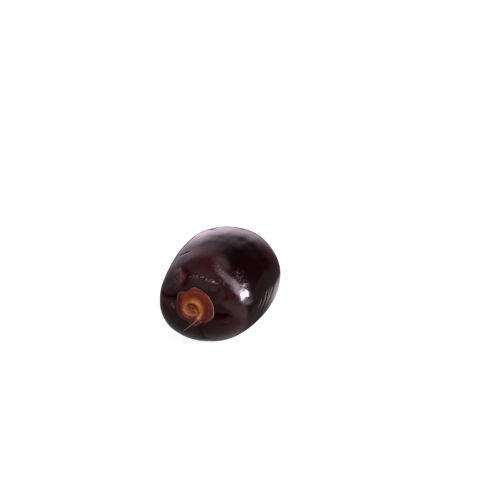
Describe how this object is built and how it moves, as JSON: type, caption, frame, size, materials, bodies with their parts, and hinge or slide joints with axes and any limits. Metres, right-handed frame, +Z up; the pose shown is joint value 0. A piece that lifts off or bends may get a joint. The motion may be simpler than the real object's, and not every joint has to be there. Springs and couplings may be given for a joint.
{
  "type": "black date",
  "caption": "Whole dried black date lying on its side, a glossy wrinkled fruit with a dry calyx cap on the stem end.",
  "frame": {"origin": "on the surface that the date lies on, under the middle of its box", "axes": "+Y along the date from the stem end to the tip, +Z up from the surface, +X to the right seen from the stem end"},
  "size_m": [0.0244, 0.0394, 0.0251],
  "materials": {
    "skin": "thin waxy fruit skin, near-black wine colour, glossy with fine wrinkles",
    "husk": "dry fibrous calyx, orange-brown with dark wine-red edges"
  },
  "bodies": {
    "root": {"fruit": "skin", "calyx_cap": "husk"}
  },
  "joints": []
}
